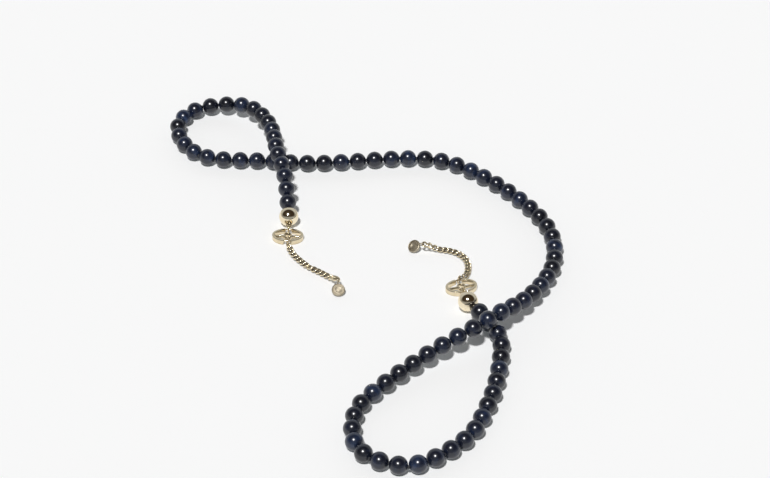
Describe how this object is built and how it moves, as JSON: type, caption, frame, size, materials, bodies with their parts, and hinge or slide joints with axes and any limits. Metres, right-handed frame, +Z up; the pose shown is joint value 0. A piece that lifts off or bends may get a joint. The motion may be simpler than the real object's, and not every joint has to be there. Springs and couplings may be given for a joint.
{
  "type": "eyeglass retainer strap",
  "caption": "Beaded eyewear neck chain: glossy round beads on one cord, a hollow ball, oval charm, curb chain and snap medallion at each end, lying in a loose loop.",
  "frame": {"origin": "under the middle of the bounding box of the strand, on the surface it lies on", "axes": "+Z up; +X along the short side of the loop in plan; +Y along its long side, away from the viewer"},
  "size_m": [0.1966, 0.2848, 0.0172],
  "materials": {
    "bead": "polished dark navy glass bead with a lacquered sheen",
    "cord": "dark waxed cord",
    "gold_plate": "polished pale gold plate",
    "gold_wire": "polished pale gold wire",
    "gold_chain": "polished pale gold curb chain",
    "gold_disc": "lightly antiqued gold medallion"
  },
  "bodies": {
    "strand_cord": {"stringing_cord": "cord", "crimp_eye_left": "gold_wire", "crimp_eye_right": "gold_wire"},
    "end_ball_left": {"end_ball_left": "gold_plate"},
    "ball_ring_left": {"ball_ring_left": "gold_wire"},
    "charm_left": {"charm_left": "gold_plate"},
    "chain_ring_left": {"chain_ring_left": "gold_wire"},
    "chain_upper_left": {"chain_upper_left": "gold_chain"},
    "chain_lower_left": {"chain_lower_left": "gold_chain"},
    "medallion_left": {"medallion_left": "gold_disc"},
    "end_ball_right": {"end_ball_right": "gold_plate"},
    "ball_ring_right": {"ball_ring_right": "gold_wire"},
    "charm_right": {"charm_right": "gold_plate"},
    "chain_ring_right": {"chain_ring_right": "gold_wire"},
    "chain_upper_right": {"chain_upper_right": "gold_chain"},
    "chain_lower_right": {"chain_lower_right": "gold_chain"},
    "medallion_right": {"medallion_right": "gold_disc"},
    "bead_pair_01": {"bead_pair_01": "bead"},
    "bead_pair_02": {"bead_pair_02": "bead"},
    "bead_pair_03": {"bead_pair_03": "bead"},
    "bead_pair_04": {"bead_pair_04": "bead"},
    "bead_pair_05": {"bead_pair_05": "bead"},
    "bead_pair_06": {"bead_pair_06": "bead"},
    "bead_pair_07": {"bead_pair_07": "bead"},
    "bead_pair_08": {"bead_pair_08": "bead"},
    "bead_pair_09": {"bead_pair_09": "bead"},
    "bead_pair_10": {"bead_pair_10": "bead"},
    "bead_pair_11": {"bead_pair_11": "bead"},
    "bead_pair_12": {"bead_pair_12": "bead"},
    "bead_pair_13": {"bead_pair_13": "bead"},
    "bead_pair_14": {"bead_pair_14": "bead"},
    "bead_pair_15": {"bead_pair_15": "bead"},
    "bead_pair_16": {"bead_pair_16": "bead"},
    "bead_pair_17": {"bead_pair_17": "bead"},
    "bead_pair_18": {"bead_pair_18": "bead"},
    "bead_pair_19": {"bead_pair_19": "bead"},
    "bead_pair_20": {"bead_pair_20": "bead"},
    "bead_pair_21": {"bead_pair_21": "bead"},
    "bead_pair_22": {"bead_pair_22": "bead"},
    "bead_pair_23": {"bead_pair_23": "bead"},
    "bead_pair_24": {"bead_pair_24": "bead"},
    "bead_pair_25": {"bead_pair_25": "bead"},
    "bead_pair_26": {"bead_pair_26": "bead"},
    "bead_pair_27": {"bead_pair_27": "bead"},
    "bead_pair_28": {"bead_pair_28": "bead"},
    "bead_pair_29": {"bead_pair_29": "bead"},
    "bead_pair_30": {"bead_pair_30": "bead"},
    "bead_pair_31": {"bead_pair_31": "bead"},
    "bead_pair_32": {"bead_pair_32": "bead"},
    "bead_pair_33": {"bead_pair_33": "bead"},
    "bead_pair_34": {"bead_pair_34": "bead"},
    "bead_pair_35": {"bead_pair_35": "bead"},
    "bead_pair_36": {"bead_pair_36": "bead"},
    "bead_pair_37": {"bead_pair_37": "bead"},
    "bead_pair_38": {"bead_pair_38": "bead"},
    "bead_pair_39": {"bead_pair_39": "bead"},
    "bead_pair_40": {"bead_pair_40": "bead"},
    "bead_pair_41": {"bead_pair_41": "bead"},
    "bead_pair_42": {"bead_pair_42": "bead"},
    "last_bead": {"last_bead": "bead"}
  },
  "joints": [
    {"name": "end_ball_spin_left", "type": "hinge", "parent": "strand_cord", "child": "end_ball_left", "pos_m": [-0.03449, 0.04048, 0.0049], "axis": [0.0731, -0.9712, -0.2267], "continuous": true},
    {"name": "ball_ring_swing_left", "type": "hinge", "parent": "strand_cord", "child": "ball_ring_left", "pos_m": [-0.03428, 0.03526, 0.0035], "axis": [0.0104, -0.2591, 0.9658], "range_deg": [-40, 40]},
    {"name": "charm_tilt_left", "type": "hinge", "parent": "ball_ring_left", "child": "charm_left", "pos_m": [-0.03441, 0.03344, 0.0021], "axis": [-0.9986, 0.0523, 0], "range_deg": [-70, 70]},
    {"name": "chain_ring_tilt_left", "type": "hinge", "parent": "charm_left", "child": "chain_ring_left", "pos_m": [-0.03489, 0.02426, 0.0021], "axis": [0.9986, -0.0523, 0], "range_deg": [-45, 45]},
    {"name": "chain_swing_left", "type": "hinge", "parent": "chain_ring_left", "child": "chain_upper_left", "pos_m": [-0.03441, 0.02201, 0.0021], "axis": [0, 0, 1], "range_deg": [-50, 50]},
    {"name": "chain_bend_left", "type": "hinge", "parent": "chain_upper_left", "child": "chain_lower_left", "pos_m": [-0.02389, 0.00469, 0.00145], "axis": [0, 0, -1], "range_deg": [-60, 60]},
    {"name": "medallion_tilt_left", "type": "hinge", "parent": "chain_lower_left", "child": "medallion_left", "pos_m": [-0.00969, -0.01089, 0.00421], "axis": [-0.9945, -0.1045, 0], "range_deg": [-30, 90]},
    {"name": "end_ball_spin_right", "type": "hinge", "parent": "strand_cord", "child": "end_ball_right", "pos_m": [0.05144, -0.02654, 0.00482], "axis": [-0.4262, 0.9043, 0.0266], "continuous": true},
    {"name": "ball_ring_swing_right", "type": "hinge", "parent": "strand_cord", "child": "ball_ring_right", "pos_m": [0.05001, -0.01768, 0.0033], "axis": [-0.0268, 0.1647, 0.986], "range_deg": [-40, 40]},
    {"name": "charm_tilt_right", "type": "hinge", "parent": "ball_ring_right", "child": "charm_right", "pos_m": [0.04994, -0.01572, 0.0021], "axis": [0.9659, 0.2588, 0], "range_deg": [-70, 70]},
    {"name": "chain_ring_tilt_right", "type": "hinge", "parent": "charm_right", "child": "chain_ring_right", "pos_m": [0.04756, -0.00683, 0.0021], "axis": [-0.9659, -0.2588, 0], "range_deg": [-45, 35]},
    {"name": "chain_swing_right", "type": "hinge", "parent": "chain_ring_right", "child": "chain_upper_right", "pos_m": [0.04841, -0.0047, 0.0021], "axis": [0, 0, 1], "range_deg": [-25, 50]},
    {"name": "chain_bend_right", "type": "hinge", "parent": "chain_upper_right", "child": "chain_lower_right", "pos_m": [0.04973, 0.01324, 0.00145], "axis": [0, 0, -1], "range_deg": [-60, 60]},
    {"name": "medallion_tilt_right", "type": "hinge", "parent": "chain_lower_right", "child": "medallion_right", "pos_m": [0.03031, 0.01856, 0.00435], "axis": [-0.0308, 0.8824, 0.4695], "range_deg": [-30, 90]},
    {"name": "bead_pair_01_spin", "type": "hinge", "parent": "strand_cord", "child": "bead_pair_01", "pos_m": [-0.0356, 0.05346, 0.00811], "axis": [-0.1016, 0.9589, 0.2648], "continuous": true},
    {"name": "bead_pair_02_spin", "type": "hinge", "parent": "strand_cord", "child": "bead_pair_02", "pos_m": [-0.03814, 0.06984, 0.01214], "axis": [-0.2167, 0.9665, 0.1378], "continuous": true},
    {"name": "bead_pair_03_spin", "type": "hinge", "parent": "strand_cord", "child": "bead_pair_03", "pos_m": [-0.0418, 0.08648, 0.0128], "axis": [-0.1663, 0.9841, -0.063], "continuous": true},
    {"name": "bead_pair_04_spin", "type": "hinge", "parent": "strand_cord", "child": "bead_pair_04", "pos_m": [-0.04443, 0.1033, 0.01131], "axis": [-0.1641, 0.9803, -0.1094], "continuous": true},
    {"name": "bead_pair_05_spin", "type": "hinge", "parent": "strand_cord", "child": "bead_pair_05", "pos_m": [-0.04918, 0.11956, 0.00948], "axis": [-0.4069, 0.9092, -0.0881], "continuous": true},
    {"name": "bead_pair_06_spin", "type": "hinge", "parent": "strand_cord", "child": "bead_pair_06", "pos_m": [-0.05888, 0.13324, 0.00775], "axis": [-0.7652, 0.6297, -0.134], "continuous": true},
    {"name": "bead_pair_07_spin", "type": "hinge", "parent": "strand_cord", "child": "bead_pair_07", "pos_m": [-0.07448, 0.13847, 0.00538], "axis": [-0.991, 0.0124, -0.1334], "continuous": true},
    {"name": "bead_pair_08_spin", "type": "hinge", "parent": "strand_cord", "child": "bead_pair_08", "pos_m": [-0.08935, 0.13198, 0.00421], "axis": [-0.6453, -0.7637, -0.0205], "continuous": true},
    {"name": "bead_pair_09_spin", "type": "hinge", "parent": "strand_cord", "child": "bead_pair_09", "pos_m": [-0.09383, 0.11625, 0.0041], "axis": [0.1382, -0.9904, 0], "continuous": true},
    {"name": "bead_pair_10_spin", "type": "hinge", "parent": "strand_cord", "child": "bead_pair_10", "pos_m": [-0.08733, 0.10073, 0.0041], "axis": [0.601, -0.7993, 0], "continuous": true},
    {"name": "bead_pair_11_spin", "type": "hinge", "parent": "strand_cord", "child": "bead_pair_11", "pos_m": [-0.07346, 0.09161, 0.0041], "axis": [0.9715, -0.237, 0], "continuous": true},
    {"name": "bead_pair_12_spin", "type": "hinge", "parent": "strand_cord", "child": "bead_pair_12", "pos_m": [-0.05651, 0.08978, 0.0041], "axis": [0.9993, -0.0364, 0], "continuous": true},
    {"name": "bead_pair_13_spin", "type": "hinge", "parent": "strand_cord", "child": "bead_pair_13", "pos_m": [-0.03947, 0.08847, 0.0041], "axis": [0.9939, -0.1101, 0], "continuous": true},
    {"name": "bead_pair_14_spin", "type": "hinge", "parent": "strand_cord", "child": "bead_pair_14", "pos_m": [-0.02241, 0.08745, 0.0041], "axis": [0.9999, 0.0157, 0], "continuous": true},
    {"name": "bead_pair_15_spin", "type": "hinge", "parent": "strand_cord", "child": "bead_pair_15", "pos_m": [-0.00537, 0.08869, 0.0041], "axis": [0.9934, 0.1144, 0], "continuous": true},
    {"name": "bead_pair_16_spin", "type": "hinge", "parent": "strand_cord", "child": "bead_pair_16", "pos_m": [0.01161, 0.09069, 0.0041], "axis": [0.9944, 0.1057, 0], "continuous": true},
    {"name": "bead_pair_17_spin", "type": "hinge", "parent": "strand_cord", "child": "bead_pair_17", "pos_m": [0.02867, 0.0914, 0.0041], "axis": [0.9989, -0.0467, 0], "continuous": true},
    {"name": "bead_pair_18_spin", "type": "hinge", "parent": "strand_cord", "child": "bead_pair_18", "pos_m": [0.04515, 0.0875, 0.0041], "axis": [0.903, -0.4297, 0], "continuous": true},
    {"name": "bead_pair_19_spin", "type": "hinge", "parent": "strand_cord", "child": "bead_pair_19", "pos_m": [0.05915, 0.07783, 0.0041], "axis": [0.7477, -0.664, 0], "continuous": true},
    {"name": "bead_pair_20_spin", "type": "hinge", "parent": "strand_cord", "child": "bead_pair_20", "pos_m": [0.07123, 0.06576, 0.0041], "axis": [0.6638, -0.7479, 0], "continuous": true},
    {"name": "bead_pair_21_spin", "type": "hinge", "parent": "strand_cord", "child": "bead_pair_21", "pos_m": [0.08174, 0.05229, 0.0041], "axis": [0.5628, -0.8266, 0], "continuous": true},
    {"name": "bead_pair_22_spin", "type": "hinge", "parent": "strand_cord", "child": "bead_pair_22", "pos_m": [0.09002, 0.03737, 0.0041], "axis": [0.3897, -0.921, 0], "continuous": true},
    {"name": "bead_pair_23_spin", "type": "hinge", "parent": "strand_cord", "child": "bead_pair_23", "pos_m": [0.09407, 0.02088, 0.0041], "axis": [0.0765, -0.9971, 0], "continuous": true},
    {"name": "bead_pair_24_spin", "type": "hinge", "parent": "strand_cord", "child": "bead_pair_24", "pos_m": [0.09302, 0.00389, 0.00427], "axis": [-0.1924, -0.9805, 0.04], "continuous": true},
    {"name": "bead_pair_25_spin", "type": "hinge", "parent": "strand_cord", "child": "bead_pair_25", "pos_m": [0.08763, -0.0122, 0.00572], "axis": [-0.4154, -0.903, 0.1094], "continuous": true},
    {"name": "bead_pair_26_spin", "type": "hinge", "parent": "strand_cord", "child": "bead_pair_26", "pos_m": [0.07946, -0.02703, 0.00798], "axis": [-0.5441, -0.826, 0.1473], "continuous": true},
    {"name": "bead_pair_27_spin", "type": "hinge", "parent": "strand_cord", "child": "bead_pair_27", "pos_m": [0.06895, -0.04013, 0.011], "axis": [-0.6683, -0.7192, 0.1899], "continuous": true},
    {"name": "bead_pair_28_spin", "type": "hinge", "parent": "strand_cord", "child": "bead_pair_28", "pos_m": [0.05634, -0.05145, 0.01147], "axis": [-0.8045, -0.5801, -0.1277], "continuous": true},
    {"name": "bead_pair_29_spin", "type": "hinge", "parent": "strand_cord", "child": "bead_pair_29", "pos_m": [0.04224, -0.06078, 0.00897], "axis": [-0.8292, -0.5374, -0.1534], "continuous": true},
    {"name": "bead_pair_30_spin", "type": "hinge", "parent": "strand_cord", "child": "bead_pair_30", "pos_m": [0.02863, -0.07084, 0.00668], "axis": [-0.7595, -0.6418, -0.1063], "continuous": true},
    {"name": "bead_pair_31_spin", "type": "hinge", "parent": "strand_cord", "child": "bead_pair_31", "pos_m": [0.01604, -0.08231, 0.00524], "axis": [-0.7124, -0.6981, -0.0715], "continuous": true},
    {"name": "bead_pair_32_spin", "type": "hinge", "parent": "strand_cord", "child": "bead_pair_32", "pos_m": [0.00469, -0.09503, 0.00434], "axis": [-0.5903, -0.8067, -0.0271], "continuous": true},
    {"name": "bead_pair_33_spin", "type": "hinge", "parent": "strand_cord", "child": "bead_pair_33", "pos_m": [-0.00119, -0.11076, 0.0041], "axis": [-0.098, -0.9952, -0.0005], "continuous": true},
    {"name": "bead_pair_34_spin", "type": "hinge", "parent": "strand_cord", "child": "bead_pair_34", "pos_m": [0.00138, -0.12728, 0.0041], "axis": [0.4702, -0.8826, 0], "continuous": true},
    {"name": "bead_pair_35_spin", "type": "hinge", "parent": "strand_cord", "child": "bead_pair_35", "pos_m": [0.01437, -0.1374, 0.0041], "axis": [0.9514, -0.308, 0], "continuous": true},
    {"name": "bead_pair_36_spin", "type": "hinge", "parent": "strand_cord", "child": "bead_pair_36", "pos_m": [0.03074, -0.13599, 0.0041], "axis": [0.8847, 0.4663, 0], "continuous": true},
    {"name": "bead_pair_37_spin", "type": "hinge", "parent": "strand_cord", "child": "bead_pair_37", "pos_m": [0.04426, -0.12569, 0.0041], "axis": [0.7018, 0.7124, 0], "continuous": true},
    {"name": "bead_pair_38_spin", "type": "hinge", "parent": "strand_cord", "child": "bead_pair_38", "pos_m": [0.05374, -0.11164, 0.0041], "axis": [0.3854, 0.9228, 0], "continuous": true},
    {"name": "bead_pair_39_spin", "type": "hinge", "parent": "strand_cord", "child": "bead_pair_39", "pos_m": [0.05945, -0.09554, 0.0041], "axis": [0.2938, 0.9559, 0], "continuous": true},
    {"name": "bead_pair_40_spin", "type": "hinge", "parent": "strand_cord", "child": "bead_pair_40", "pos_m": [0.06341, -0.07892, 0.0041], "axis": [0.1733, 0.9849, 0], "continuous": true},
    {"name": "bead_pair_41_spin", "type": "hinge", "parent": "strand_cord", "child": "bead_pair_41", "pos_m": [0.06554, -0.06197, 0.0041], "axis": [0.0686, 0.9976, 0], "continuous": true},
    {"name": "bead_pair_42_spin", "type": "hinge", "parent": "strand_cord", "child": "bead_pair_42", "pos_m": [0.06251, -0.04547, 0.00417], "axis": [-0.4647, 0.8853, 0.0162], "continuous": true},
    {"name": "last_bead_spin", "type": "hinge", "parent": "strand_cord", "child": "last_bead", "pos_m": [0.05659, -0.0341, 0.00458], "axis": [-0.5118, 0.8585, 0.0331], "continuous": true}
  ]
}
